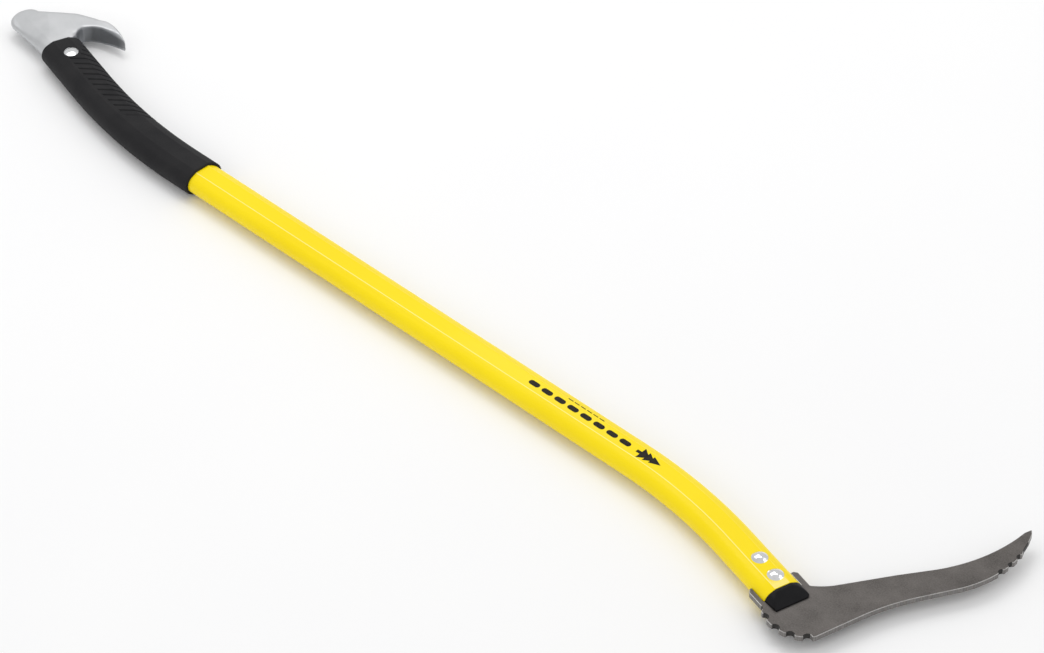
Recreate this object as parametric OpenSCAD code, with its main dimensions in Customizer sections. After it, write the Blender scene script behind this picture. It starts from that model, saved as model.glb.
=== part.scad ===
// Long-handled timber pick with a bent aluminium tube handle, lying flat.
// X runs along the straight stretch from the tail hook to the blade, the beak
// points to +Y, and +Z is up. Z = 0 is the floor the tool lies on.
// Millimetres.

/* [Handle tube] */
// Length of the straight stretch between the two bends
run_len = 627; // [400:10:900]
// Width of the tube, across the blade plane
tube_w = 40; // [36:1:46]
// Height of the tube between its two flats
tube_t = 25; // [23:0.5:28]
// Wall thickness of the tube
wall = 2.5; // [1.5:0.25:3]
// Radius of the rounded narrow edges
edge_r = 11; // [10.5:0.25:11.5]
// Slope of the bevels that lead up to the flats, degrees
bevel = 24; // [20:1:28]

/* [Bends] */
// Angle of the bend near the blade, degrees
head_bend = 15; // [8:1:20]
// Radius of the bend near the blade
head_bend_r = 550; // [400:10:700]
// Straight length between that bend and the open tube end
head_len = 77.5; // [70:0.5:120]
// Angle of the bend under the grip, degrees
grip_bend = 15; // [8:1:20]
// Radius of the bend under the grip
grip_bend_r = 650; // [500:10:700]
// Straight length between that bend and the tail hook
tail_len = 72; // [66:1:110]

/* [Grip] */
// Thickness of the rubber sleeve
sleeve_t = 3; // [2:0.25:3.5]
// Length of the sleeve on the straight stretch of the tube
sleeve_run = 31; // [15:1:60]

/* [Blade] */
// Thickness of the blade plate
blade_t = 6; // [5:0.5:8]
// Radius of the toothed heel
heel_r = 40.5; // [39:0.5:42]
// Radius of the gripping notches
notch_r = 4; // [3:0.25:4.5]
// Width of each fork prong beside the tube
prong_w = 5; // [4:0.5:6.5]
// Length of the longer fork prong back along the tube
prong_len = 20; // [12:1:24]
// Length of the tang inside the tube
tang_len = 56; // [50:1:62]

/* [End plug] */
// How far the plug slopes out over the blade
plug_out = 17; // [12:1:20]
// How far the plug reaches into the tube
plug_in = 58; // [54:1:64]

/* [Dome fasteners] */
// Diameter of the dome heads
dome_d = 15.5; // [12:0.5:17]
// Height of the dome heads
dome_h = 3; // [2.5:0.25:3.5]
// Outside diameter of the barrel
barrel_d = 9; // [8:0.5:10]
// Diameter of the bolt shank inside the barrel
shank_d = 6; // [4:0.5:6.5]
// Offset of the head fasteners from the tube axis, toward the beak
dome_off = 2; // [0:0.5:2.5]

/* [Tail hook] */
// Height of the hook casting at its body
hook_t = 22; // [18:1:24]
// Height of the horn
horn_t = 16; // [12:1:17]
// Length of the spigot inside the tube
spigot_len = 60; // [45:1:80]

/* [Hidden] */
$fn = 96;
edge_c = tube_w / 2 - edge_r;
lift = tube_t / 2 + dome_h;
fit_gap = 0.2;
seam = 0.02;
lap = 0.2;
// length of the round neck between the tube and the cast hook
neck = 2.5;
first_dome = 15;
dome_pitch = 25.5;
grip_dome = 24;
dome_ball = (dome_d * dome_d / 4 + dome_h * dome_h) / (2 * dome_h);
tail_x = grip_bend_r * sin(grip_bend) + tail_len * cos(grip_bend);
head_x = run_len + head_bend_r * sin(head_bend) + head_len * cos(head_bend);
head_y = head_bend_r * (1 - cos(head_bend)) + head_len * sin(head_bend);
// offsets that put the origin under the middle of the tool's outline
mid_x = (head_x - tail_x) / 2 + 20;
mid_y = 91.4 - head_y;

// ---- where things sit -------------------------------------------------------

// start of the straight stretch, on the tube axis
module place() translate([-mid_x, -mid_y, lift]) children();

// end of the bend near the blade, X pointing out of the tube
module at_head_bend()
  translate([run_len, -head_bend_r, 0])
  rotate([0, 0, -head_bend])
  translate([0, head_bend_r, 0])
  children();

// open end of the tube at the blade
module at_head() at_head_bend() translate([head_len, 0, 0]) children();

// end of the bend under the grip, X pointing along the tube toward the blade
module at_grip_bend()
  translate([0, grip_bend_r, 0])
  rotate([0, 0, -grip_bend])
  translate([0, -grip_bend_r, 0])
  children();

// open end of the tube at the tail hook
module at_tail() at_grip_bend() translate([-tail_len, 0, 0]) children();

// ---- tube section -----------------------------------------------------------

// points on a circle about (cx, cy)
function arc(cx, cy, r, a0, a1, n) =
  [for (i = [0 : n]) [cx + r * cos(a0 + (a1 - a0) * i / n), cy + r * sin(a0 + (a1 - a0) * i / n)]];

// the tube's outline grown by g: two round edges and two bevelled flats
module section(g) {
  r = edge_r + g;
  top = tube_t / 2 + g;
  flat = edge_c + r * sin(bevel) - (top - r * cos(bevel)) / tan(bevel);
  polygon(concat(
    arc(edge_c, 0, r, bevel - 90, 90 - bevel, 10),
    [[flat, top], [-flat, top]],
    arc(-edge_c, 0, r, 90 + bevel, 270 - bevel, 10),
    [[-flat, -top], [flat, -top]]));
}

module straight(g, len) rotate([90, 0, 90]) linear_extrude(len) section(g);

// the bends are drawn a hair slimmer than the stretches that overlap their ends
module head_arc(g)
  translate([run_len, -head_bend_r, 0])
  rotate([0, 0, 90 - head_bend])
  rotate_extrude(angle = head_bend)
  translate([head_bend_r, 0])
  section(g - seam);

module grip_arc(g)
  translate([0, grip_bend_r, 0])
  rotate([0, 0, 270 - grip_bend])
  rotate_extrude(angle = grip_bend)
  translate([grip_bend_r, 0])
  section(g - seam);

// straight stretch, grip bend and tail, e longer at the tail
module tail_bar(g, len, e) {
  translate([-lap, 0, 0]) straight(g, len + lap);
  grip_arc(g);
  at_grip_bend() translate([-tail_len - e, 0, 0]) straight(g, tail_len + e + lap);
}

// the whole bent bar, e longer at both ends
module bar(g, e) {
  translate([-lap, 0, 0]) straight(g, run_len + 2 * lap);
  head_arc(g);
  at_head_bend() translate([-lap, 0, 0]) straight(g, head_len + e + lap);
  grip_arc(g);
  at_grip_bend() translate([-tail_len - e, 0, 0]) straight(g, tail_len + e + lap);
}

// ---- fasteners --------------------------------------------------------------

module at_head_domes() {
  at_head() translate([-first_dome, dome_off, 0]) children();
  at_head() translate([-first_dome - dome_pitch, dome_off, 0]) children();
}

module at_grip_dome() at_tail() translate([grip_dome, 0, 0]) children();

module dome()
  intersection() {
    translate([0, 0, dome_h - dome_ball]) sphere(r = dome_ball);
    cylinder(d = dome_d, h = dome_h + 1);
  }

module bolt() {
  translate([0, 0, tube_t / 2]) dome();
  translate([0, 0, 4 - tube_t / 2]) cylinder(d = shank_d - fit_gap, h = tube_t - 4);
}

module nut()
  difference() {
    union() {
      translate([0, 0, -tube_t / 2]) mirror([0, 0, 1]) dome();
      translate([0, 0, -tube_t / 2]) cylinder(d = barrel_d - fit_gap, h = tube_t - 1);
    }
    translate([0, 0, 2 - tube_t / 2]) cylinder(d = shank_d, h = tube_t);
  }

module barrel_hole() translate([0, 0, -50]) cylinder(d = barrel_d, h = 100);

// ---- blade ------------------------------------------------------------------

prong_in = tube_w / 2 + fit_gap;
prong_out = prong_in + prong_w;
tang_half = tube_w / 2 - wall - fit_gap;
heel_c = [22, 9.5];
tip_c = [-40.5, 167];
tip_r = 120;

// outline: fork and tang, inner edge up to the tip, outer edge down, heel
blade_outline = concat(
  [[4 - prong_len, -prong_out], [-prong_len, 3 - prong_out], [-prong_len, -prong_in],
    [0, -prong_in], [0, -tang_half], [-tang_len, -tang_half], [-tang_len, tang_half],
    [0, tang_half], [0, prong_in], [2 - prong_len, prong_in], [2 - prong_len, prong_out - 1.5],
    [5 - prong_len, prong_out + 1.5]],
  arc(-45.5, 68.4, 65, -40, -20, 6),
  [[32.8, 100]],
  arc(-116, 188.5, 170, -18, 15, 16),
  [[48.5, 240.5], [53, 237.5], [59, 230], [64.5, 220.5]],
  arc(tip_c[0], tip_c[1], tip_r, 23, -15, 18),
  arc(289.5, 45, 230, 165, 180, 8),
  arc(heel_c[0], heel_c[1], heel_r, -21, -109, 24),
  [[5.5, -prong_out]]);

module blade_flat()
  difference() {
    polygon(blade_outline);
    // notches of the heel
    for (a = [-31, -53.5, -76, -99])
      translate(heel_c + heel_r * [cos(a), sin(a)]) circle(r = notch_r);
    // notches behind the tip
    for (a = [8.4, 14.7, 21])
      translate(tip_c + (tip_r + 1) * [cos(a), sin(a)]) circle(r = notch_r - 0.5);
    // bolt holes in the tang
    translate([-first_dome, dome_off]) circle(d = barrel_d);
    translate([-first_dome - dome_pitch, dome_off]) circle(d = barrel_d);
  }

module blade()
  color([0.40, 0.38, 0.36])
  place() at_head()
  translate([fit_gap, 0, -blade_t / 2])
  linear_extrude(blade_t)
  blade_flat();

// ---- handle tube ------------------------------------------------------------

module handle_tube()
  color([0.98, 0.83, 0.02])
  place()
  difference() {
    bar(0, 0);
    bar(-wall, 1);
    at_head_domes() barrel_hole();
    at_grip_dome() barrel_hole();
  }

// ---- end plug ---------------------------------------------------------------

// upper half of the plug: a filler inside the tube and a wedge over the blade
module plug_half()
  difference() {
    union() {
      // sloping nose
      intersection() {
        translate([fit_gap, 0, 0]) straight(0, plug_out);
        rotate([90, 0, 0]) translate([0, 0, -30]) linear_extrude(60)
          polygon([[fit_gap, blade_t / 2 + fit_gap], [plug_out, blade_t / 2 + fit_gap],
            [plug_out, blade_t / 2 + 1.5], [3, tube_t / 2], [fit_gap, tube_t / 2]]);
        linear_extrude(20)
          polygon([[0, -20], [plug_out, -18], [plug_out, 16.5], [plug_out - 3.5, 20], [0, 20]]);
      }
      // filler between the tang and the tube wall
      intersection() {
        translate([-plug_in, 0, 0]) straight(-wall - fit_gap, plug_in + 1);
        translate([-plug_in - 1, -30, blade_t / 2 + fit_gap]) cube([plug_in + 2, 60, 20]);
      }
    }
    translate([-first_dome, dome_off, 0]) barrel_hole();
    translate([-first_dome - dome_pitch, dome_off, 0]) barrel_hole();
  }

module end_plug_upper()
  color([0.03, 0.03, 0.04])
  place() at_head() plug_half();

module end_plug_lower()
  color([0.03, 0.03, 0.04])
  place() at_head() mirror([0, 0, 1]) plug_half();

// ---- fastener nodes ---------------------------------------------------------

module head_bolts() color([0.85, 0.86, 0.88]) place() at_head_domes() bolt();
module head_nuts() color([0.85, 0.86, 0.88]) place() at_head_domes() nut();
module grip_bolt() color([0.85, 0.86, 0.88]) place() at_grip_dome() bolt();
module grip_nut() color([0.85, 0.86, 0.88]) place() at_grip_dome() nut();

// ---- grip sleeve ------------------------------------------------------------

module grip_sleeve()
  color([0.10, 0.10, 0.11])
  place()
  difference() {
    tail_bar(sleeve_t, sleeve_run, neck);
    tail_bar(fit_gap / 2, sleeve_run + 1, neck + 1);
    at_grip_dome() translate([0, 0, -40]) cylinder(d = dome_d + 1, h = 80);
  }

// ---- tail hook --------------------------------------------------------------

// outline of the hook, X toward the blade: neck, nose, back of the horn, throat
hook_outline = concat(
  [[-neck, -19.5], [-30, -22], [-52, -25]],
  arc(-67, -10, 17, 280, 100, 14),
  [[-62, 14], [-54, 25]],
  arc(10, -5, 69, 145, 75, 16),
  [[28, 60], [23, 57], [14, 53], [6, 49], [-4, 43.5], [-10, 37.5], [-13.5, 31.5],
    [-12.5, 26], [-9, 21.5], [-neck, 19]]);

module hook_flat() polygon(hook_outline);

// the thicker body of the hook, without the horn
module hook_body_flat()
  intersection() {
    hook_flat();
    polygon([[1, -18], [-70, -24], [-82, -10], [-72, 4], [-58, 12], [-48, 30], [-34, 42],
      [-20, 46], [-17, 30], [-10, 17], [1, 17]]);
  }

module tail_hook()
  color([0.74, 0.75, 0.76])
  place() at_tail()
  difference() {
    union() {
      translate([0, 0, -horn_t / 2]) linear_extrude(horn_t) hook_flat();
      translate([0, 0, -hook_t / 2]) linear_extrude(hook_t) hook_body_flat();
      translate([-neck - 1, 0, 0]) straight(-0.6, neck + 1 - fit_gap);
      translate([-neck, 0, 0]) straight(-wall - fit_gap, spigot_len + neck);
    }
    translate([grip_dome, 0, 0]) barrel_hole();
  }

// ---- drawing ----------------------------------------------------------------

blade();
handle_tube();
end_plug_upper();
end_plug_lower();
head_bolts();
head_nuts();
grip_bolt();
grip_nut();
grip_sleeve();
tail_hook();
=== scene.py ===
"""Long-handled timber pick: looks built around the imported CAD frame."""
import math
from collections import Counter

import bmesh
import bpy
import numpy as np
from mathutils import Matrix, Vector
from mathutils.geometry import tessellate_polygon


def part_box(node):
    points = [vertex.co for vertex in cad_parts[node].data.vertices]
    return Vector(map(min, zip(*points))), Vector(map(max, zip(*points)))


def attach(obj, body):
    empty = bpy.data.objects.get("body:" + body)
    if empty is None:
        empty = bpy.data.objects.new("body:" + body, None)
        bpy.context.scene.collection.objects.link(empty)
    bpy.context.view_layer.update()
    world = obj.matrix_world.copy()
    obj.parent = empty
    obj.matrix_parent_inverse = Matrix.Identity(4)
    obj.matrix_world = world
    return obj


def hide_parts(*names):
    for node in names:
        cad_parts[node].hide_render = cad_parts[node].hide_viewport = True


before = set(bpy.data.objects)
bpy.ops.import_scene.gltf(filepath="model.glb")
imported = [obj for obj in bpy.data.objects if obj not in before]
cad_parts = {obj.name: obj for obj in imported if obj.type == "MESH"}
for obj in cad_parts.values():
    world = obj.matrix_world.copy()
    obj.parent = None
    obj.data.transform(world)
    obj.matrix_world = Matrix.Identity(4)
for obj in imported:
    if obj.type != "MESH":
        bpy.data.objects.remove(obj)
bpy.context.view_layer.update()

# ---- where things are: sizes in millimetres, u and s along the tube, v across it ---------

MM = 0.001
RUN_LEN, HEAD_R, HEAD_LEN = 627.0, 550.0, 77.5
GRIP_R, TAIL_LEN = 650.0, 72.0
HEAD_BEND, GRIP_BEND = math.radians(15), math.radians(15)
HEAD_ARC, GRIP_ARC = HEAD_R * HEAD_BEND, GRIP_R * GRIP_BEND
TUBE_W, TUBE_T, WALL = 40.0, 25.0, 2.5
EDGE_R, BEVEL = 11.0, math.radians(24)
# height over the axis of the flats that the domes sit on
SEAT = TUBE_T / 2
SLEEVE_T, SLEEVE_RUN = 3.0, 29.0
BLADE_HALF = 3.0

tube_lo, tube_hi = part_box("handle_tube")
AXIS_Z = (tube_lo.z + tube_hi.z) / 2 / MM

# the start of the straight stretch, worked back from the CAD tube's two corners at the head end
head_run = RUN_LEN + HEAD_R * math.sin(HEAD_BEND) + HEAD_LEN * math.cos(HEAD_BEND)
head_drop = HEAD_R * (1 - math.cos(HEAD_BEND)) + HEAD_LEN * math.sin(HEAD_BEND)
START_X = tube_hi.x / MM - TUBE_W / 2 * math.sin(HEAD_BEND) - head_run
START_Y = tube_lo.y / MM + head_drop + TUBE_W / 2 * math.cos(HEAD_BEND)


class Frame2:
    """A spot on the tube axis with a heading: u runs toward the blade, v toward the beak side."""

    def __init__(self, x, y, a):
        self.x, self.y, self.a = x, y, a
        self.c, self.s = math.cos(a), math.sin(a)

    def at(self, u, v, z=0.0):
        """Row-frame metres of a point given in millimetres."""
        return Vector(((self.x + u * self.c - v * self.s) * MM,
                       (self.y + u * self.s + v * self.c) * MM, (AXIS_Z + z) * MM))


def spine(s):
    """Frame on the axis at arc length s; s = 0 is where the straight stretch starts."""
    if s < 0:
        t, d = min(-s / GRIP_R, GRIP_BEND), max(0.0, -s - GRIP_ARC)
        return Frame2(START_X - GRIP_R * math.sin(t) - d * math.cos(t),
                      START_Y + GRIP_R * (1 - math.cos(t)) + d * math.sin(t), -t)
    if s <= RUN_LEN:
        return Frame2(START_X + s, START_Y, 0.0)
    t, d = min((s - RUN_LEN) / HEAD_R, HEAD_BEND), max(0.0, s - RUN_LEN - HEAD_ARC)
    return Frame2(START_X + RUN_LEN + HEAD_R * math.sin(t) + d * math.cos(t),
                  START_Y - HEAD_R * (1 - math.cos(t)) - d * math.sin(t), -t)


S_HEAD = RUN_LEN + HEAD_ARC + HEAD_LEN
S_TAIL = -(GRIP_ARC + TAIL_LEN)
HEAD = spine(S_HEAD)
TAIL = spine(S_TAIL)


# ---- small helpers -----------------------------------------------------------------------


def smooth_step(a, b, x):
    t = min(1.0, max(0.0, (x - a) / (b - a)))
    return t * t * (3 - 2 * t)


def new_object(name, verts, faces, materials, face_slots=None, smooth=True):
    """A mesh object from row-frame vertices."""
    me = bpy.data.meshes.new(name)
    me.from_pydata([tuple(v) for v in verts], [], faces)
    for m in materials:
        me.materials.append(m)
    if face_slots:
        for p, k in zip(me.polygons, face_slots):
            p.material_index = k
    me.polygons.foreach_set("use_smooth", [smooth] * len(me.polygons))
    me.update()
    ob = bpy.data.objects.new(name, me)
    bpy.context.scene.collection.objects.link(ob)
    return ob


def outward(ob):
    """Turns the faces of a closed mesh outward."""
    bm = bmesh.new()
    bm.from_mesh(ob.data)
    bmesh.ops.recalc_face_normals(bm, faces=bm.faces)
    bm.to_mesh(ob.data)
    bm.free()


def sharp_by_angle(ob, degrees):
    """Marks sharp every edge whose faces meet at more than this angle."""
    bm = bmesh.new()
    bm.from_mesh(ob.data)
    limit = math.radians(degrees)
    for e in bm.edges:
        e.smooth = len(e.link_faces) == 2 and e.calc_face_angle(0) < limit
    bm.to_mesh(ob.data)
    bm.free()


def fit_piece(ob, slot, *nodes):
    """Hangs a piece on the tool's one body; nodes are the CAD nodes that it stands for."""
    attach(ob, "root")
    if nodes:
        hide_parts(*nodes)


# ---- materials ---------------------------------------------------------------------------


class Mat:
    """A Principled material with object-space coordinates and short node helpers."""

    def __init__(self, name, color, metallic=0.0, rough=0.5, **sockets):
        self.m = bpy.data.materials.new(name)
        self.m.use_nodes = True
        self.nt = self.m.node_tree
        self.b = self.nt.nodes["Principled BSDF"]
        self.b.inputs["Base Color"].default_value = (*color, 1)
        self.b.inputs["Metallic"].default_value = metallic
        self.b.inputs["Roughness"].default_value = rough
        for k, v in sockets.items():
            self.b.inputs[k.replace("_", " ")].default_value = v
        self.co = self.add("ShaderNodeTexCoord").outputs["Object"]

    def add(self, kind, **props):
        n = self.nt.nodes.new(kind)
        for k, v in props.items():
            setattr(n, k, v)
        return n

    def link(self, a, b):
        self.nt.links.new(a, b)

    def normal(self):
        """The surface normal as three sockets."""
        n = self.add("ShaderNodeSeparateXYZ")
        self.link(self.add("ShaderNodeTexCoord").outputs["Normal"], n.inputs[0])
        return n.outputs

    def stretched(self, scale):
        n = self.add("ShaderNodeMapping")
        n.inputs["Scale"].default_value = scale
        self.link(self.co, n.inputs["Vector"])
        return n.outputs["Vector"]

    def noise(self, scale, detail=4.0, rough=0.55, vector=None):
        n = self.add("ShaderNodeTexNoise")
        n.inputs["Scale"].default_value = scale
        n.inputs["Detail"].default_value = detail
        n.inputs["Roughness"].default_value = rough
        self.link(vector or self.co, n.inputs["Vector"])
        return n.outputs["Fac"]

    def ramp(self, fac, stops):
        """Colours along a value; stops are (position, colour)."""
        n = self.add("ShaderNodeValToRGB")
        els = n.color_ramp.elements
        while len(els) > 1:
            els.remove(els[0])
        els[0].position, els[0].color = stops[0][0], (*stops[0][1], 1)
        for p, c in stops[1:]:
            els.new(p).color = (*c, 1)
        self.link(fac, n.inputs["Fac"])
        return n.outputs["Color"]

    def range(self, fac, lo, hi, from_lo=0.0, from_hi=1.0):
        """Carries a value from from_lo..from_hi to lo..hi."""
        n = self.add("ShaderNodeMapRange")
        for k, v in (("From Min", from_lo), ("From Max", from_hi), ("To Min", lo), ("To Max", hi)):
            n.inputs[k].default_value = v
        self.link(fac, n.inputs["Value"])
        return n.outputs["Result"]

    def math(self, op, a, b=None):
        n = self.add("ShaderNodeMath", operation=op)
        for i, x in enumerate((a, b)):
            if x is None:
                continue
            if isinstance(x, (int, float)):
                n.inputs[i].default_value = x
            else:
                self.link(x, n.inputs[i])
        return n.outputs[0]

    def mix(self, fac, a, b):
        n = self.add("ShaderNodeMix", data_type="RGBA")
        for key, x in (("Factor", fac), ("A", a), ("B", b)):
            s = next(i for i in n.inputs if i.name == key and i.enabled)
            if isinstance(x, (int, float)):
                s.default_value = x
            elif isinstance(x, tuple):
                s.default_value = (*x, 1)
            else:
                self.link(x, s)
        return next(o for o in n.outputs if o.enabled)

    def color(self, c):
        self.link(c, self.b.inputs["Base Color"])

    def rough(self, r):
        self.link(r, self.b.inputs["Roughness"])

    def bump(self, height, strength, distance):
        """Adds a bump on top of those already there."""
        n = self.add("ShaderNodeBump")
        n.inputs["Strength"].default_value = strength
        n.inputs["Distance"].default_value = distance
        self.link(height, n.inputs["Height"])
        prior = self.b.inputs["Normal"].links
        if prior:
            self.link(prior[0].from_socket, n.inputs["Normal"])
        self.link(n.outputs["Normal"], self.b.inputs["Normal"])


# Z of the normal on the ridge between the tube's flat and its bevel, and how far from it the
# painted highlight stripe begins to fade and ends
RIDGE_UP, HIGHLIGHT_FADE, HIGHLIGHT_END = 0.961, 0.030, 0.037


def yellow_coat():
    m = Mat("yellow_coat", (0.98, 0.74, 0.01), 0.0, 0.35, Specular_IOR_Level=0.12,
            Coat_Weight=0.2, Coat_Roughness=0.06)
    coat = m.ramp(m.noise(9.0, 3.0), [(0.3, (0.95, 0.72, 0.002)), (0.7, (0.97, 0.75, 0.004))])
    # painted highlight: the ridge is coloured pale, most of all on the side away from the beak
    normal = m.normal()
    off_ridge = m.math("ABSOLUTE", m.math("SUBTRACT", m.math("ABSOLUTE", normal["Z"]), RIDGE_UP))
    highlight_band = m.range(off_ridge, 1.0, 0.0, HIGHLIGHT_FADE, HIGHLIGHT_END)
    painted_highlight = m.math("MULTIPLY", highlight_band, m.range(normal["Y"], 0.7, 0.15, -0.02, 0.02))
    m.color(m.mix(painted_highlight, coat, (1.0, 0.87, 0.30)))
    m.rough(m.range(m.noise(55.0, 3.0), 0.30, 0.42))
    m.bump(m.noise(900.0, 2.0), 0.12, 0.0003)
    return m.m


def steel_plate():
    m = Mat("steel_plate", (0.16, 0.145, 0.135), 0.75, 0.5)
    blotch = m.noise(38.0, 6.0, 0.6)
    grain = m.noise(700.0, 3.0)
    base = m.ramp(blotch, [(0.3, (0.068, 0.061, 0.057)), (0.55, (0.108, 0.098, 0.092)),
                           (0.8, (0.155, 0.142, 0.134))])
    m.color(m.mix(m.range(grain, 0.0, 0.35, 0.35, 0.7), base, (0.20, 0.188, 0.176)))
    m.rough(m.range(blotch, 0.40, 0.58))
    m.bump(grain, 0.25, 0.0003)
    m.bump(m.noise(60.0, 5.0), 0.15, 0.0006)
    return m.m


def steel_cut():
    """Laser-cut edge: fine striations down the wall."""
    m = Mat("steel_cut", (0.2, 0.19, 0.18), 0.8, 0.42)
    lines = m.noise(1.0, 4.0, 0.6, m.stretched((900, 900, 60)))
    m.color(m.ramp(lines, [(0.3, (0.13, 0.12, 0.115)), (0.7, (0.27, 0.26, 0.25))]))
    m.rough(m.range(lines, 0.32, 0.5))
    m.bump(lines, 0.4, 0.0004)
    return m.m


def steel_corner_highlight():
    """Broken corner between the plate's face and its cut edge, coloured bright as a painted highlight.
    """
    m = Mat("steel_corner_highlight", (0.46, 0.45, 0.44), 0.9, 0.32)
    n = m.noise(500.0, 3.0)
    m.color(m.ramp(n, [(0.3, (0.33, 0.32, 0.31)), (0.7, (0.52, 0.51, 0.50))]))
    m.rough(m.range(n, 0.25, 0.42))
    return m.m


def steel_notch_shade():
    """Wall of the small notches, coloured near black as painted shade."""
    m = Mat("steel_notch_shade", (0.02, 0.019, 0.018), 0.3, 0.6)
    n = m.noise(600.0, 3.0)
    m.color(m.ramp(n, [(0.3, (0.012, 0.011, 0.010)), (0.7, (0.035, 0.032, 0.030))]))
    m.rough(m.range(n, 0.5, 0.7))
    return m.m


def black_plastic():
    m = Mat("black_plastic", (0.006, 0.006, 0.007), 0.0, 0.38, Specular_IOR_Level=0.12)
    n = m.noise(420.0, 3.0)
    m.color(m.ramp(m.noise(60.0, 3.0), [(0.3, (0.005, 0.005, 0.006)), (0.7, (0.009, 0.009, 0.010))]))
    m.rough(m.range(n, 0.33, 0.46))
    m.bump(n, 0.15, 0.0003)
    return m.m


def black_rubber():
    m = Mat("black_rubber", (0.018, 0.018, 0.019), 0.0, 0.62, Specular_IOR_Level=0.17)
    big = m.noise(30.0, 5.0)
    n = m.noise(600.0, 4.0, 0.6)
    m.color(m.ramp(big, [(0.3, (0.010, 0.010, 0.0115)), (0.7, (0.018, 0.0175, 0.0185))]))
    m.rough(m.range(n, 0.52, 0.72))
    m.bump(n, 0.3, 0.0004)
    return m.m


def bright_steel():
    m = Mat("bright_steel", (0.8, 0.81, 0.82), 1.0, 0.16)
    n = m.noise(120.0, 4.0)
    m.color(m.ramp(n, [(0.3, (0.70, 0.71, 0.725)), (0.7, (0.84, 0.845, 0.85))]))
    m.rough(m.range(n, 0.12, 0.22))
    m.bump(m.noise(260.0, 3.0), 0.06, 0.0004)
    return m.m


# middle of the hook's throat, as (u, v) in the tail's frame, and how far from it, in metres, the
# painted shade on its walls begins to fade and ends
THROAT_AT, SHADE_FADE, SHADE_END = (12, 27), 0.031, 0.037


def cast_aluminium():
    m = Mat("cast_aluminium", (0.66, 0.67, 0.68), 0.85, 0.45)
    n = m.noise(420.0, 4.0, 0.6)
    soft = m.noise(26.0, 4.0)
    face = m.ramp(soft, [(0.3, (0.53, 0.54, 0.55)), (0.7, (0.63, 0.635, 0.645))])
    # painted shade: the steep walls of the throat are coloured darker
    gap = m.add("ShaderNodeVectorMath", operation="DISTANCE")
    m.link(m.co, gap.inputs[0])
    gap.inputs[1].default_value = TAIL.at(*THROAT_AT)
    near = m.range(gap.outputs["Value"], 1.0, 0.0, SHADE_FADE, SHADE_END)
    steep = m.range(m.math("ABSOLUTE", m.normal()["Z"]), 1.0, 0.0, 0.70, 0.985)
    m.color(m.mix(m.math("MULTIPLY", near, steep), face, (0.27, 0.28, 0.295)))
    m.rough(m.range(n, 0.38, 0.52))
    m.bump(n, 0.18, 0.0004)
    m.bump(soft, 0.1, 0.001)
    return m.m


def print_ink():
    m = Mat("print_ink", (0.02, 0.018, 0.015), 0.0, 0.45, Specular_IOR_Level=0.08)
    n = m.noise(300.0, 3.0)
    m.color(m.ramp(n, [(0.3, (0.016, 0.014, 0.012)), (0.7, (0.03, 0.026, 0.02))]))
    m.rough(m.range(n, 0.38, 0.5))
    return m.m


YELLOW, PLATE, CUT, CORNER_HIGHLIGHT, NOTCH_SHADE = (yellow_coat(), steel_plate(), steel_cut(),
                                        steel_corner_highlight(), steel_notch_shade())
PLASTIC, RUBBER, BRIGHT, CAST, INK = (black_plastic(), black_rubber(), bright_steel(),
                                      cast_aluminium(), print_ink())

# ---- tube section ------------------------------------------------------------------------

RIDGE_R, RIDGE_N = 2.6, 4
EDGE_C = TUBE_W / 2 - EDGE_R
# the flat has a row of points this far in from its ridges, which keeps its shading level
FLAT_IN = 0.5
# the broken corner at both ends of the tube: (distance from the end, growth of the section)
TUBE_END = [(0.0, -0.45), (0.15, -0.12), (0.5, 0.0)]


def arc2(cx, cy, r, a0, a1, n):
    """n + 1 points of an arc; the angles are in radians."""
    return [(cx + r * math.cos(a0 + (a1 - a0) * i / n), cy + r * math.sin(a0 + (a1 - a0) * i / n))
            for i in range(n + 1)]


def arc_deg(cx, cy, r, a0, a1, n):
    return arc2(cx, cy, r, math.radians(a0), math.radians(a1), n)


def tube_profile(g, edge_n=14, flat_n=6, bevel_n=2):
    """Outline of the tube's section grown by g, one closed ring of (v, z) in millimetres."""
    r, top = EDGE_R + g, TUBE_T / 2 + g
    flat = EDGE_C + r * math.sin(BEVEL) - (top - r * math.cos(BEVEL)) / math.tan(BEVEL)
    back = RIDGE_R * math.tan(BEVEL / 2)
    right = arc2(EDGE_C, 0, r, 0, math.pi / 2 - BEVEL, edge_n)
    ridge = arc2(flat - back, top - RIDGE_R, RIDGE_R, math.pi / 2 - BEVEL, math.pi / 2, RIDGE_N)
    slope = [tuple(np.add(right[-1], np.subtract(ridge[0], right[-1]) * k / bevel_n))
             for k in range(1, bevel_n)]
    half = flat - back - FLAT_IN
    quarter = right + slope + ridge + [(half, top)]
    level = [(half - 2 * half * k / flat_n, top) for k in range(1, flat_n)]
    upper = quarter + level + [(-v, z) for v, z in reversed(quarter)]
    return upper + [(v, -z) for v, z in reversed(upper[1:-1])]


def sweep_rings(rings, name, material):
    """Skins a list of equal rings of points, the last ring joined to the first."""
    n, m = len(rings), len(rings[0])
    faces = []
    for i in range(n):
        a, b = i * m, ((i + 1) % n) * m
        faces += [(a + k, a + (k + 1) % m, b + (k + 1) % m, b + k) for k in range(m)]
    ob = new_object(name, [p for ring in rings for p in ring], faces, [material])
    outward(ob)
    return ob


def stations(lo, hi, bend_step, straight_step):
    """Arc lengths from lo to hi, closer together in the bends."""
    a, b = -GRIP_ARC, RUN_LEN + HEAD_ARC
    marks = [lo] + [m for m in (a, 0.0, RUN_LEN, b) if lo < m < hi] + [hi]
    out = []
    for p, q in zip(marks, marks[1:]):
        mid = (p + q) / 2
        bent = a < mid < 0 or RUN_LEN < mid < b
        n = max(1, math.ceil((q - p) / (bend_step if bent else straight_step)))
        out += [p + (q - p) * k / n for k in range(n)]
    return out + [hi]


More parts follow.
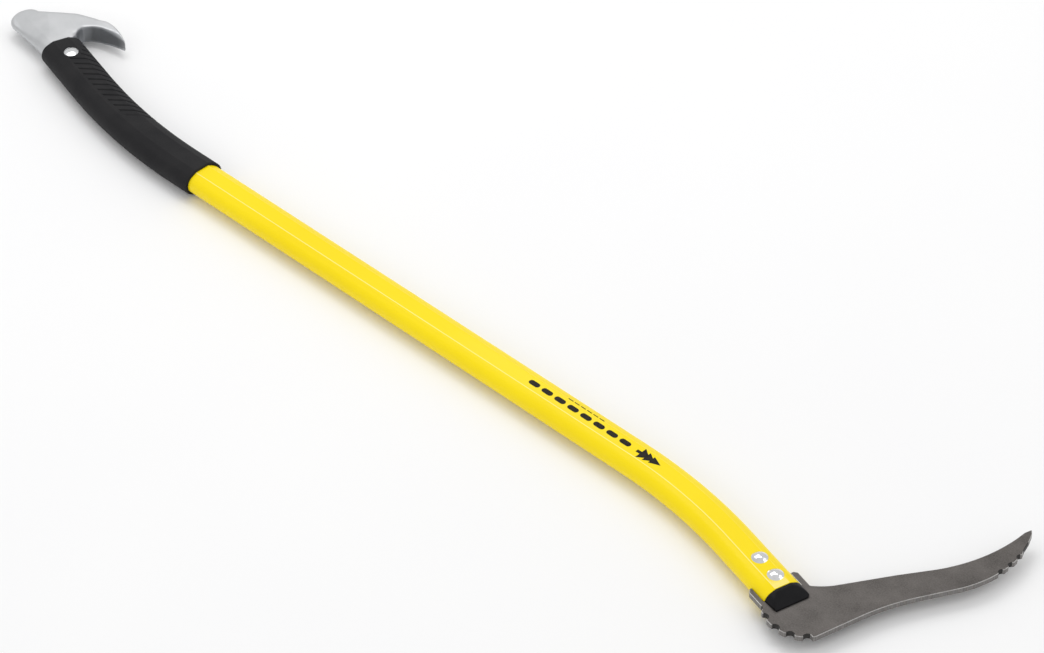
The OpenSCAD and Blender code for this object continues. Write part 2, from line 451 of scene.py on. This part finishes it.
def make_tube():
    skin = stations(S_TAIL, S_HEAD, 4.0, 30.0)
    tail_end = [(skin[0] + run, grow) for run, grow in TUBE_END]
    head_end = [(skin[-1] - run, grow) for run, grow in reversed(TUBE_END)]
    outside = tail_end + [(s, 0.0) for s in skin[1:-1]] + head_end
    inside = [(s, -WALL) for s in reversed(skin)]
    rings = [[spine(s).at(0, v, z) for v, z in tube_profile(grow)] for s, grow in outside + inside]
    ob = sweep_rings(rings, "tube_skin", YELLOW)
    sharp_by_angle(ob, 50)
    fit_piece(ob, "yellow_coat", "handle_tube")


# ---- printed mark ------------------------------------------------------------------------

INK_TOP, INK_T = TUBE_T / 2 + 0.06, 0.05
# rows of bars: (count, first u, v, pitch, length, width)
PRINT_ROWS = [(8, 491.0, 0.6, 16.8, 13.0, 6.0), (6, 535.0, 8.2, 8.0, 6.2, 0.9)]
# the conifer grows toward the blade: (u, half width) of its three tiers, then its tip
TIERS = [(630, 1.8), (635, 1.8), (635, 7.6), (642, 2.8), (642, 6.2), (648.5, 2.2), (648.5, 4.9)]
TREE_TIP, TREE_V = 660, 0.2


def make_print():
    """A plain pictogram of a conifer and rows of short bars, printed on the upper flat."""
    f = spine(0)
    verts, faces = [], []

    def patch(points):
        k, n = len(verts), len(points)
        verts.extend(f.at(u, v, z) for z in (INK_TOP, INK_TOP - INK_T) for u, v in points)
        faces.append(tuple(range(k, k + n)))
        faces.append(tuple(range(k + 2 * n - 1, k + n - 1, -1)))
        faces.extend((k + i, k + n + i, k + n + (i + 1) % n, k + (i + 1) % n) for i in range(n))

    def bar(u, v, length, width):
        r = width / 2
        ends = arc2(u + length - r, v, r, -math.pi / 2, math.pi / 2, 8)
        patch(ends + arc2(u + r, v, r, math.pi / 2, 3 * math.pi / 2, 8))

    for count, u, v, pitch, length, width in PRINT_ROWS:
        for k in range(count):
            bar(u + pitch * k, v, length, width)
    patch([(u, TREE_V - w) for u, w in TIERS] + [(TREE_TIP, TREE_V)]
          + [(u, TREE_V + w) for u, w in reversed(TIERS)])
    ob = new_object("printed_mark", verts, faces, [INK], smooth=False)
    outward(ob)
    fit_piece(ob, "black_plastic")


# ---- rubber sleeve -----------------------------------------------------------------------

DOME_R, DOME_H, GRIP_DOME_U = 7.75, 3.0, 24.0
# how far off the tube the sleeve's inside and its mouths' edges lie, and its gap round the dome
SLEEVE_IN, SLEEVE_FOOT, DOME_GAP = 0.1, 0.12, 0.15
# the mouth toward the hook overlaps the tube's end and slants; the other mouth steps forward
TAIL_LAP, TAIL_SLANT = 2.4, 0.07
FRONT_STEP, FRONT_FROM, FRONT_TO = 3.5, 9, 23
# how both mouths round off: (share of the thickness, run in from the mouth)
SLEEVE_LIP = [(0.0, 0.0), (0.45, 0.0), (0.75, 0.25), (0.93, 0.7), (1.0, 1.4)]
SLEEVE_RING = (16, 26, 4)
FRONT_ROWS, INNER_ROWS = 16, 24

GROOVE_PITCH, GROOVE_DEPTH = 10.5, 1.3
GROOVE_HEADING, GROOVE_V0 = math.radians(41), -7.0
FIRST_GROOVE, GROOVES, EARLY_GROOVES = -209.0, 12, 3
# a groove's section: (offset across it, share of its depth)
GROOVE_SHAPE = [(-1.9, 0), (-1.45, 0), (-1.1, 0.35), (-0.75, 0.9), (-0.3, 1.0),
                (0.3, 1.0), (0.75, 0.9), (1.1, 0.35), (1.45, 0), (1.9, 0)]
LAST_WIDER, LAST_DEPTH = 1.6, 0.55
# how the grooves' starts climb along the grip, and how much higher the early ones start
START_CLIMB, EARLY_UP, EARLY_STEP = 3.0, 9.0, 5.0
# half the width over which a groove's start fades in
START_FADE = 0.9
# how far behind the mouth the first row stays, and what each later row adds
MOUTH_ROOM, ROW_ROOM = 1.5, 0.02


def heading_at(s):
    """How far the axis at s is turned from +X; negative under the grip bend."""
    return spine(s).a


def groove_line(q, v):
    """Arc length at which the groove line through q on the ridge crosses the offset v."""
    return q + (v - GROOVE_V0) / math.tan(GROOVE_HEADING - heading_at(q))


def groove_rows():
    """(arc length on the ridge, share of depth, groove number) of rows that follow the grooves."""
    rows = []
    for k in range(EARLY_GROOVES + GROOVES):
        q = FIRST_GROOVE + GROOVE_PITCH * (k - EARLY_GROOVES)
        widen = 1.0 / math.sin(GROOVE_HEADING - heading_at(q))
        last = k == EARLY_GROOVES + GROOVES - 1
        wider, share = (LAST_WIDER, LAST_DEPTH) if last else (1.0, 1.0)
        rows += [(q + d * widen * wider, depth * share, k) for d, depth in GROOVE_SHAPE]
        rows.append((q + GROOVE_PITCH / 2, 0.0, k))
    return rows


def groove_start(k):
    """Offset at which groove k begins; the early ones begin higher up the side, one by one."""
    start = GROOVE_V0 + START_CLIMB * k / (EARLY_GROOVES + GROOVES)
    if k < EARLY_GROOVES:
        start += EARLY_UP + EARLY_STEP * (EARLY_GROOVES - k)
    return start


def bore_through(ob, f, u, v, radius):
    """Cuts a round hole square to the blade plane through a closed mesh, and triangulates it."""
    n, reach = 64, 30.0
    ring = [(u + radius * math.cos(2 * math.pi * k / n), v + radius * math.sin(2 * math.pi * k / n))
            for k in range(n)]
    verts = [f.at(a, b, z) for z in (-reach, reach) for a, b in ring]
    faces = [tuple(reversed(range(n))), tuple(range(n, 2 * n))]
    faces += [(k, (k + 1) % n, n + (k + 1) % n, n + k) for k in range(n)]
    cutter = new_object("bore_cutter", verts, faces, [RUBBER], smooth=False)
    outward(cutter)
    mod = ob.modifiers.new("bore", "BOOLEAN")
    mod.operation, mod.object, mod.solver = "DIFFERENCE", cutter, "EXACT"
    deps = bpy.context.evaluated_depsgraph_get()
    cut = bpy.data.meshes.new_from_object(ob.evaluated_get(deps))
    ob.modifiers.remove(mod)
    bpy.data.objects.remove(cutter, do_unlink=True)
    cut.calc_loop_triangles()
    spots = {}
    ids = [spots.setdefault(tuple(round(c, 7) for c in v.co), len(spots)) for v in cut.vertices]
    tris = [tuple(ids[i] for i in t.vertices) for t in cut.loop_triangles]
    # where the bore grazes a row it leaves triangles back to back: neither of a pair is kept
    uses = Counter(frozenset(t) for t in tris)
    tris = [t for t in tris if len(set(t)) == 3 and uses[frozenset(t)] == 1]
    clean = bpy.data.meshes.new(ob.name)
    clean.from_pydata(list(spots), [], tris)
    clean.materials.append(RUBBER)
    clean.polygons.foreach_set("use_smooth", [True] * len(tris))
    ob.data = clean


def make_sleeve():
    prof, thin, inner = [tube_profile(g, *SLEEVE_RING) for g in (SLEEVE_T, SLEEVE_FOOT, SLEEVE_IN)]
    tail_line = [S_TAIL - TAIL_LAP + TAIL_SLANT * v for v, _ in prof]
    front_line = [SLEEVE_RUN + FRONT_STEP * smooth_step(FRONT_FROM, FRONT_TO, v) for v, _ in prof]
    grooved = groove_rows()
    last_line = [groove_line(grooved[-1][0], v) for v, _ in prof]
    lip_run = SLEEVE_LIP[-1][1]

    # a row gives each point's arc length, share of the thickness and share of a groove's depth
    rows = [[(tail + run, t, 0.0) for tail in tail_line] for t, run in SLEEVE_LIP]
    for j, (q, depth, k) in enumerate(grooved):
        start = groove_start(k)
        row = []
        for tail, (v, _) in zip(tail_line, prof):
            # rows that would pass the mouth bunch up behind it, without a groove
            s, mouth = groove_line(q, v), tail + MOUTH_ROOM + ROW_ROOM * j
            reach = smooth_step(start - START_FADE, start + START_FADE, v) if s >= mouth else 0.0
            row.append((max(s, mouth), 1.0, depth * reach))
        rows.append(row)
    for j in range(1, FRONT_ROWS):
        t = j / FRONT_ROWS
        rows.append([(a + (b - lip_run - a) * t, 1.0, 0.0) for a, b in zip(last_line, front_line)])
    rows += [[(front - run, t, 0.0) for front in front_line] for t, run in reversed(SLEEVE_LIP)]

    rings = []
    for row in rows:
        ring = []
        for (s, t, depth), (v0, z0), (v1, z1) in zip(row, thin, prof):
            k = t - depth * GROOVE_DEPTH / SLEEVE_T
            ring.append(spine(s).at(0, v0 + (v1 - v0) * k, z0 + (z1 - z0) * k))
        rings.append(ring)
    for j in range(INNER_ROWS, -1, -1):
        t = j / INNER_ROWS
        rings.append([spine(a + (b - a) * t).at(0, *p)
                      for a, b, p in zip(tail_line, front_line, inner)])
    ob = sweep_rings(rings, "sleeve_rubber", RUBBER)
    bore_through(ob, TAIL, GRIP_DOME_U, 0.0, DOME_R + DOME_GAP)
    sharp_by_angle(ob, 60)
    fit_piece(ob, "black_rubber", "grip_sleeve")


# ---- dome fasteners ----------------------------------------------------------------------

DOME_N, CROWN_N, RIM = 48, 14, 0.35
FIRST_DOME, DOME_PITCH, DOME_V = 15.0, 25.5, 2.0
HEAD_SPOTS = [(-FIRST_DOME, DOME_V), (-FIRST_DOME - DOME_PITCH, DOME_V)]
GRIP_SPOTS = [(GRIP_DOME_U, 0.0)]
GRIP_DOME_H, GRIP_BOLT_UP, GRIP_NUT_UP = 1.8, 2.4, 1.2
# what runs back through the tube, as (radius, height over the seat): a shank or a hollow barrel
SHANK_IN = 12.0
SHANK = [(2.9, -0.3), (2.9, -SHANK_IN)]
BARREL = [(4.4, -0.3), (4.4, -SHANK_IN), (3.0, -SHANK_IN), (3.0, -2.0)]


def dome_profile(height):
    """(radius, height) from the crown to the seat, with a small rolled rim."""
    ball = (DOME_R ** 2 + height ** 2) / (2 * height)
    turn = math.asin((DOME_R - RIM) / ball)
    crown = [(ball * math.sin(turn * k / CROWN_N), ball * math.cos(turn * k / CROWN_N) - ball + height)
             for k in range(1, CROWN_N + 1)]
    return crown + [(DOME_R - 0.1, crown[-1][1] - 0.12), (DOME_R, 0.12), (DOME_R - 0.05, 0.0),
                    (4.6, 0.0)]


def make_domes(name, f, spots, nut, seat, height, node):
    """Domes at (u, v) spots of an axis frame: bolts on the upper side, nuts on the lower."""
    side = -1 if nut else 1
    prof = dome_profile(height) + (BARREL if nut else SHANK)
    turns = [2 * math.pi * k / DOME_N for k in range(DOME_N)]
    verts, faces = [], []
    for u, v in spots:
        base = len(verts)
        verts.append(f.at(u, v, side * (seat + height)))
        for r, h in prof:
            verts += [f.at(u + r * math.cos(a), v + r * math.sin(a), side * (seat + h)) for a in turns]
        verts.append(f.at(u, v, side * (seat + prof[-1][1])))
        rings = [base + 1 + j * DOME_N for j in range(len(prof))]
        for k in range(DOME_N):
            k2 = (k + 1) % DOME_N
            faces.append((base, rings[0] + k, rings[0] + k2))
            faces += [(a + k, b + k, b + k2, a + k2) for a, b in zip(rings, rings[1:])]
            faces.append((len(verts) - 1, rings[-1] + k2, rings[-1] + k))
    ob = new_object(name, verts, faces, [BRIGHT])
    outward(ob)
    sharp_by_angle(ob, 50)
    fit_piece(ob, "bright_steel", node)


# ---- end plug ----------------------------------------------------------------------------

PLUG_FLOOR = BLADE_HALF + 0.2
PLUG_RING = (16, 30, 12)
# distances from the tube's mouth, closer together over the rounded start
PLUG_ROWS = [0.25, 0.4, 0.8, 1.5, 2.2, 2.7, 3.3] + [4.0 + 0.5 * k for k in range(26)] + [16.95]
# where the upper face slopes down, and its height over the blade at the end of the slope
SLOPE_FROM, SLOPE_TO, SLOPE_END = 3.0, 17.0, 1.5
# the side away from the beak tapers, and the beak side is cut back near the end
NEAR_TAPER, FAR_CUT = 0.11, 13.5
# how far the nose draws in at the tube's mouth and at its outer end
LIP_IN, LIP_OUT = 0.35, 0.5
# how softly the slope meets the flat
RIDGE_SOFT, RIDGE_LIFT = 0.5, 0.12


def plug_top(u):
    t = (u - SLOPE_FROM) / (SLOPE_TO - SLOPE_FROM)
    return TUBE_T / 2 - max(0.0, t) * (TUBE_T / 2 - BLADE_HALF - SLOPE_END)


def make_plug(name, side, node):
    """Sloping nose that fills the tube mouth above (side 1) or below (side -1) the blade."""
    edge_v = EDGE_C + math.sqrt(EDGE_R ** 2 - PLUG_FLOOR ** 2)
    arch = [p for p in tube_profile(0, *PLUG_RING) if p[1] > PLUG_FLOOR]
    prof = [(edge_v, PLUG_FLOOR)] + arch + [(-edge_v, PLUG_FLOOR)]
    half = TUBE_W / 2
    verts = []
    for u in PLUG_ROWS:
        lip = LIP_IN * (1 - smooth_step(0.25, 0.9, u)) + LIP_OUT * smooth_step(16.4, 17.0, u)
        right, left = half - max(0.0, u - FAR_CUT), -half + u * NEAR_TAPER
        h = plug_top(u)
        for v, z in prof:
            # soft minimum keeps the ridge between slope and flat gently rounded
            d = z - h
            low = h + (d - math.sqrt(d * d + RIDGE_SOFT)) / 2 + RIDGE_LIFT
            z2 = (low if z > PLUG_FLOOR + 0.01 else z) - lip * 0.6
            v2 = min(max(v, left), right) * (1 - lip / half)
            verts.append(HEAD.at(u, v2, side * max(PLUG_FLOOR, min(z2, TUBE_T / 2))))
    m = len(prof)
    faces = []
    for i in range(len(PLUG_ROWS) - 1):
        for k in range(m):
            a, b = i * m + k, i * m + (k + 1) % m
            faces.append((a, b, b + m, a + m))
    faces.append(tuple(range(m)))
    faces.append(tuple(reversed(range(len(verts) - m, len(verts)))))
    ob = new_object(name, verts, faces, [PLASTIC])
    outward(ob)
    sharp_by_angle(ob, 40)
    fit_piece(ob, "black_plastic", node)


# ---- blade -------------------------------------------------------------------------------

HEEL_R, TIP_R = 40.5, 120.0
HEEL_C, TIP_C = (22.0, 9.5), (-40.5, 167.0)
HEEL_NOTCH, TIP_NOTCH = 4.1, 3.6
# the plate stands this far out of the tube's mouth, as in the CAD
BLADE_OUT = 0.2
# (inset, height) of the edge's rows, from the lower face round to the upper face
BLADE_EDGE = [(0.55, -3.0), (0.2, -2.86), (0.0, -2.5), (0.0, 2.5), (0.2, 2.86), (0.55, 3.0)]
# material slots of the plate: its faces, its broken corner with a painted highlight, the cut wall and
# the notches with painted shade
FACE, CORNER, WALL_CUT, NOTCH = range(4)


def on_circle(cx, cy, r, degrees):
    return cx + r * math.cos(math.radians(degrees)), cy + r * math.sin(math.radians(degrees))


def wrap_angle(a):
    """The same angle between -pi and pi."""
    return (a + math.pi) % (2 * math.pi) - math.pi


def toothed(cx, cy, r, a0, a1, n, seats, seat_r, notch_r):
    """An arc in degrees with round notches whose centres lie at radius seat_r."""
    sgn = 1 if a1 > a0 else -1
    # half the angle that a notch takes up on the arc
    h = math.degrees(math.acos((r * r + seat_r * seat_r - notch_r * notch_r) / (2 * r * seat_r)))
    out = []
    for i in range(n + 1):
        a = a0 + (a1 - a0) * i / n
        if all(abs(a - s) > h for s in seats):
            out.append((a, [on_circle(cx, cy, r, a)]))
    for s in seats:
        nx, ny = on_circle(cx, cy, seat_r, s)
        b0, b1 = [math.atan2(y - ny, x - nx)
                  for x, y in (on_circle(cx, cy, r, s + k * h) for k in (-sgn, sgn))]
        # the notch's own arc runs by way of the side that faces the centre
        mid = math.radians(s) + math.pi
        d0, d1 = wrap_angle(mid - b0), wrap_angle(b1 - mid)
        pts = [b0 + d0 * k / 12 for k in range(12)] + [mid + d1 * k / 12 for k in range(13)]
        out.append((s, [(nx + notch_r * math.cos(b), ny + notch_r * math.sin(b)) for b in pts]))
    out.sort(key=lambda e: sgn * e[0])
    return [p for _, group in out for p in group]


def resample(poly, step):
    """Closed outline with points about a step apart."""
    out = []
    for a, b in zip(poly, poly[1:] + poly[:1]):
        d = math.dist(a, b)
        n = max(1, round(d / step))
        out += [(a[0] + (b[0] - a[0]) * k / n, a[1] + (b[1] - a[1]) * k / n) for k in range(n)]
    return out


def relax(poly, rounds):
    """Softens corners of a closed outline without shrinking its long curves."""
    p = np.array(poly)
    for _ in range(rounds):
        p = p * 0.5 + (np.roll(p, 1, 0) + np.roll(p, -1, 0)) * 0.25
    return p


def inward(p):
    """Unit normals that point into a closed outline of either winding."""
    t = np.roll(p, -1, 0) - np.roll(p, 1, 0)
    t /= np.linalg.norm(t, axis=1)[:, None]
    nrm = np.stack([-t[:, 1], t[:, 0]], 1)
    area = np.sum(p[:, 0] * np.roll(p[:, 1], -1) - np.roll(p[:, 0], -1) * p[:, 1])
    return nrm if area > 0 else -nrm


def blade_outline():
    """Plan of the plate: tang, shoulders and prongs, concave side, tip, toothed back, heel."""
    half, out_v, tang, tang_len = 20.2, 25.2, 17.3, 56
    return ([(-16, -out_v), (-20, 3 - out_v), (-20, -half), (0, -half), (0, -tang),
             (-tang_len, -tang), (-tang_len, tang), (0, tang), (0, half), (-18, half),
             (-18, out_v - 1.5), (-15, out_v + 1.5)]
            + arc_deg(-45.5, 68.4, 65, -40, -20, 12) + [(32.8, 100)]
            + arc_deg(-116, 188.5, 170, -18, 15, 40)
            + [(48.5, 240.5), (53, 237.5), (59, 230), (64.5, 220.5)]
            + toothed(*TIP_C, TIP_R, 23, -15, 60, (21.0, 14.7, 8.4), TIP_R + 1, TIP_NOTCH)
            + arc_deg(289.5, 45, 230, 165, 180, 20)
            + toothed(*HEEL_C, HEEL_R, -21, -109, 80, (-31, -53.5, -76, -99), HEEL_R, HEEL_NOTCH)
            + [(5.5, -out_v)])


def in_notch(x, y):
    """Whether a point of the plate's edge lies deeper than the tips of the teeth."""
    heel = y < -7.5 and x > HEEL_C[0] - 30 and math.dist((x, y), HEEL_C) < HEEL_R - 1.3
    tip = y > 130 and x > 60 and math.dist((x, y), TIP_C) < TIP_R - 1.0
    return heel or tip


def make_blade():
    p = relax(resample(blade_outline(), 0.5), 3)
    p = p + np.array([BLADE_OUT, 0.0])
    nrm = inward(p)
    m = len(p)
    verts, faces, slots = [], [], []
    for inset, z in BLADE_EDGE:
        verts += [HEAD.at(x, y, z) for x, y in p + nrm * inset]
    # painted shade: the notches' walls are coloured near black; painted highlight: only corners that
    # face outward are coloured bright
    for j, kind in enumerate((CORNER, CORNER, WALL_CUT, CORNER, CORNER)):
        for k in range(m):
            k2 = (k + 1) % m
            faces.append((j * m + k, j * m + k2, (j + 1) * m + k2, (j + 1) * m + k))
            highlit = nrm[k][0] < 0.1 or p[k][1] < 30
            slots.append(NOTCH if in_notch(*p[k]) else kind if highlit else WALL_CUT)
    top = (len(BLADE_EDGE) - 1) * m
    flat = [Vector((x, y, 0)) for x, y in p + nrm * BLADE_EDGE[-1][0]]
    for tri in tessellate_polygon([flat]):
        faces.append(tuple(top + i for i in tri))
        faces.append(tuple(reversed(tri)))
        slots += [FACE, FACE]
    ob = new_object("blade_plate", verts, faces, [PLATE, CORNER_HIGHLIGHT, CUT, NOTCH_SHADE], slots)
    outward(ob)
    sharp_by_angle(ob, 18)
    fit_piece(ob, "steel_plate", "blade")


# ---- tail hook ---------------------------------------------------------------------------

# the casting is the zero level of a field sampled on a grid of this step, over this box
NET = 0.9
NET_LO, NET_HI = np.array([-87.0, -30.0, -13.0]), np.array([33.0, 67.0, 13.0])
# half heights: of the body, of the horn at its root, and the least anywhere
PLATEAU, HORN_H, LEAST_H = 11.0, 9.2, 4.0
# where the near bevel starts
HOOK_RIDGE_V = -8.0
# the throat's wall leans back by up to LEAN between LEAN_Z below the middle and LEAN_Z above it
LEAN, LEAN_Z = 5.0, 8
# inner edge of the horn, from its tip round the throat to the neck
THROAT_EDGE = [(27.2, 58.9), (23, 58), (14, 54.2), (6, 50.4), (-3.5, 45.2), (-10.2, 38.8), (-14, 32),
               (-12.8, 26), (-9, 21.5), (-0.3, 19)]


def hook_outline():
    """Plan of the casting: neck, rounded nose, back, tip of the horn, throat."""
    return ([(-0.3, -19.2), (-8, -19.8), (-30, -22), (-52, -25)]
            + arc_deg(-67, -10, 17, 280, 100, 24) + [(-62, 14), (-54, 25)]
            + arc_deg(10, -5, 69, 145, 80, 24) + [(25.8, 61.6), (27.6, 60.2)] + THROAT_EDGE)


def path_distance(path, x, y):
    """Distance to an open path."""
    best = np.full(x.shape, 1e9)
    for (x0, y0), (x1, y1) in zip(path, path[1:]):
        dx, dy = x1 - x0, y1 - y0
        t = np.clip(((x - x0) * dx + (y - y0) * dy) / (dx * dx + dy * dy), 0, 1)
        best = np.minimum(best, np.hypot(x - x0 - t * dx, y - y0 - t * dy))
    return best


def signed_distance(poly, x, y):
    """Distance to a closed outline, negative inside."""
    best = np.full(x.shape, 1e9)
    inside = np.zeros(x.shape, bool)
    for (x0, y0), (x1, y1) in zip(poly, np.roll(poly, -1, 0)):
        dx, dy = x1 - x0, y1 - y0
        t = np.clip(((x - x0) * dx + (y - y0) * dy) / (dx * dx + dy * dy), 0, 1)
        best = np.minimum(best, (x - x0 - t * dx) ** 2 + (y - y0 - t * dy) ** 2)
        if dy:
            inside ^= ((y0 > y) != (y1 > y)) & (x < (y - y0) * dx / dy + x0)
    best = np.sqrt(best)
    return np.where(inside, -best, best)


def ramp01(a, b, x):
    """smooth_step for arrays."""
    t = np.clip((x - a) / (b - a), 0, 1)
    return t * t * (3 - 2 * t)


def soft_min(a, b, k):
    """The lesser of two heights, blended where they are within k of each other."""
    h = np.clip(0.5 + 0.5 * (b - a) / k, 0, 1)
    return b + (a - b) * h - k * h * (1 - h)


def surface_net(field, origin, step):
    """Closed mesh on the zero level of a field sampled on a grid; negative is inside."""
    nx, ny, nz = field.shape
    inside = field < 0
    cell = np.zeros((nx - 1, ny - 1, nz - 1), np.int64)
    total = np.zeros((nx - 1, ny - 1, nz - 1, 3))
    count = np.zeros((nx - 1, ny - 1, nz - 1))
    corner = [(i, j, k) for i in (0, 1) for j in (0, 1) for k in (0, 1)]

    def at_corner(c):
        return field[c[0]:nx - 1 + c[0], c[1]:ny - 1 + c[1], c[2]:nz - 1 + c[2]]

    for a in corner:
        for axis in range(3):
            if a[axis]:
                continue
            b = tuple(c + (1 if n == axis else 0) for n, c in enumerate(a))
            fa, fb = at_corner(a), at_corner(b)
            cross = (fa < 0) != (fb < 0)
            t = np.where(cross, fa / np.where(cross, fa - fb, 1), 0)
            for n in range(3):
                total[..., n] += np.where(cross, a[n] + (t if n == axis else 0), 0)
            count += cross
    used = count > 0
    cell[used] = np.arange(used.sum())
    idx = np.argwhere(used)
    verts = origin + (idx + total[used] / count[used][:, None]) * step
    faces = []
    for axis in range(3):
        b = [slice(0, n - (1 if m == axis else 0)) for m, n in enumerate(field.shape)]
        c = [slice(1 if m == axis else 0, n) for m, n in enumerate(field.shape)]
        change = inside[tuple(b)] != inside[tuple(c)]
        p, q = [m for m in range(3) if m != axis]
        for e in np.argwhere(change):
            if e[p] == 0 or e[q] == 0 or e[p] >= field.shape[p] - 1 or e[q] >= field.shape[q] - 1:
                continue
            quad = []
            for dp, dq in ((0, 0), (1, 0), (1, 1), (0, 1)):
                w = e.copy()
                w[p] -= dp
                w[q] -= dq
                quad.append(int(cell[tuple(w)]))
            flip = inside[tuple(e)] == (axis == 1)
            faces.append(tuple(quad if flip else reversed(quad)))
    return verts, faces


def hook_height(u, v):
    """Half height over the plan: body, near bevel, horn, and a facet that falls to the nose."""
    ridge_v = HOOK_RIDGE_V + 0.02 * u
    bevel = PLATEAU + (v - ridge_v) * math.tan(BEVEL) * (1 + 0.005 * u)
    h = soft_min(PLATEAU, bevel, 0.5)
    # the horn is thinner than the body, and thinnest at its tip
    along = (v - 20) * 0.9 + (u + 30) * 0.55
    horn = HORN_H - 1.2 * ramp01(-14, 30, u)
    h = h + (np.minimum(h, horn) - h) * ramp01(6, 26, along)
    # a flat facet falls from the body toward the rounded nose, and takes the bevel with it
    off_facet = -0.364 * (u + 56) - 0.93 * (np.maximum(v, HOOK_RIDGE_V) - 10)
    h = h - 0.17 * np.maximum(off_facet, 0) * (1 - ramp01(-30, -10, u))
    # the neck takes the tube's own section where the sleeve grips it, and is no limit elsewhere
    side = np.clip(np.abs(v) - EDGE_C, 0, EDGE_R - 0.5)
    slope = 12.1 - (np.abs(v) - 8) * math.tan(BEVEL)
    neck = np.minimum(slope, np.sqrt((EDGE_R - 0.4) ** 2 - side ** 2))
    h = np.minimum(h, neck + 30 * (1 - ramp01(-14, -3, u)) + 30 * ramp01(20, 22, v))
    return np.maximum(h, LEAST_H)


def hook_rounding(u, v, h):
    """Radius of the casting's edges: generous outside, tighter in the throat and at the neck."""
    throat = ramp01(-22, -12, u) * ramp01(14, 22, v + 0.25 * u)
    r = 6.0 - (4.2 - 3.0 * ramp01(-6, 20, u)) * throat
    r = r - 3.0 * ramp01(-8, -1, u) * (1 - ramp01(14, 22, v))
    return np.minimum(r, h - 0.6)


def make_hook():
    n = np.ceil((NET_HI - NET_LO) / NET).astype(int) + 1
    u, v, z = [NET_LO[k] + NET * np.arange(n[k]) for k in range(3)]
    uu, vv = np.meshgrid(u, v, indexing="ij")
    d2 = signed_distance(np.array(hook_outline()), uu, vv)
    h = hook_height(uu, vv)
    r = hook_rounding(uu, vv, h)
    # the throat's wall leans back under the horn's top
    wall = path_distance(THROAT_EDGE[:-2], uu, vv)
    lean = LEAN * ramp01(-22, -10, uu) * ramp01(24, 38, vv)
    field = np.empty((len(u), len(v), len(z)))
    for k, zz in enumerate(z):
        q1 = np.maximum(d2, lean * np.clip((zz + LEAN_Z) / (2 * LEAN_Z), 0, 1) - wall) + r
        q2 = abs(zz) - h + r
        field[:, :, k] = (np.minimum(np.maximum(q1, q2), 0)
                          + np.hypot(np.maximum(q1, 0), np.maximum(q2, 0)) - r)
    verts, faces = surface_net(field, NET_LO, NET)
    ob = new_object("hook_casting", [TAIL.at(*p) for p in verts], faces, [CAST])
    bm = bmesh.new()
    bm.from_mesh(ob.data)
    bmesh.ops.smooth_vert(bm, verts=bm.verts, factor=0.5, use_axis_x=True, use_axis_y=True,
                          use_axis_z=True)
    bm.to_mesh(ob.data)
    bm.free()
    outward(ob)
    fit_piece(ob, "cast_aluminium", "tail_hook")


# ---- assemble ----------------------------------------------------------------------------

make_tube()
make_print()
make_sleeve()
make_domes("head_bolt_domes", HEAD, HEAD_SPOTS, False, SEAT, DOME_H, "head_bolts")
make_domes("head_nut_domes", HEAD, HEAD_SPOTS, True, SEAT, DOME_H, "head_nuts")
make_domes("grip_bolt_dome", TAIL, GRIP_SPOTS, False, SEAT + GRIP_BOLT_UP, GRIP_DOME_H, "grip_bolt")
make_domes("grip_nut_dome", TAIL, GRIP_SPOTS, True, SEAT + GRIP_NUT_UP, GRIP_DOME_H, "grip_nut")
make_plug("plug_nose_upper", 1, "end_plug_upper")
make_plug("plug_nose_lower", -1, "end_plug_lower")
make_blade()
make_hook()

# ---- floor, light, camera: in metres -----------------------------------------------------

FLOOR_HALF, WORLD_LIGHT = 9.0, 0.74
EYE, AIM = Vector((1.9862, -1.9327, 2.370)), Vector((0.0981, 0.0093, 0.0155))
LENS, SENSOR, FAR_CLIP = 127.6, 36, 50


def make_floor():
    m = Mat("floor_paint", (0.93, 0.93, 0.93), 0.0, 0.75, Specular_IOR_Level=0.2)
    m.color(m.ramp(m.noise(2.0, 2.0), [(0.3, (0.925, 0.925, 0.93)), (0.7, (0.94, 0.94, 0.94))]))
    corners = [(-1, -1), (1, -1), (1, 1), (-1, 1)]
    ob = new_object("studio_floor", [(x * FLOOR_HALF, y * FLOOR_HALF, 0) for x, y in corners],
                    [(0, 1, 2, 3)], [m.m], smooth=False)


def area_light(name, place, aim, size, power):
    data = bpy.data.lights.new(name, "AREA")
    data.shape = "RECTANGLE"
    data.size, data.size_y = size
    data.energy = power
    ob = bpy.data.objects.new(name, data)
    ob.location = place
    ob.rotation_euler = (Vector(aim) - Vector(place)).to_track_quat("-Z", "Y").to_euler()
    bpy.context.scene.collection.objects.link(ob)


make_floor()
world = bpy.data.worlds.new("studio")
bpy.context.scene.world = world
world.use_nodes = True
background = world.node_tree.nodes["Background"].inputs
background["Color"].default_value = (1, 1, 1, 1)
background["Strength"].default_value = WORLD_LIGHT
area_light("key", (-1.4, 0.6, 2.6), (0, 0, 0), (2.2, 1.6), 20)
area_light("fill", (1.8, 1.6, 2.2), (0.2, 0, 0), (1.6, 1.2), 7)
area_light("edge_strip", (-0.35, 0.75, 2.4), (0, 0, 0), (1.6, 0.25), 5)
area_light("front", (0.4, -2.6, 1.6), (0.1, 0, 0), (2.4, 1.0), 8)
bpy.context.scene.view_settings.view_transform = "Standard"

cam_data = bpy.data.cameras.new("photo_view")
cam_data.sensor_width = SENSOR
cam_data.lens = LENS
cam_data.clip_end = FAR_CLIP
cam = bpy.data.objects.new("photo_view", cam_data)
cam.location = EYE
cam.rotation_euler = (AIM - EYE).to_track_quat("-Z", "Y").to_euler()
bpy.context.scene.collection.objects.link(cam)
bpy.context.scene.camera = cam
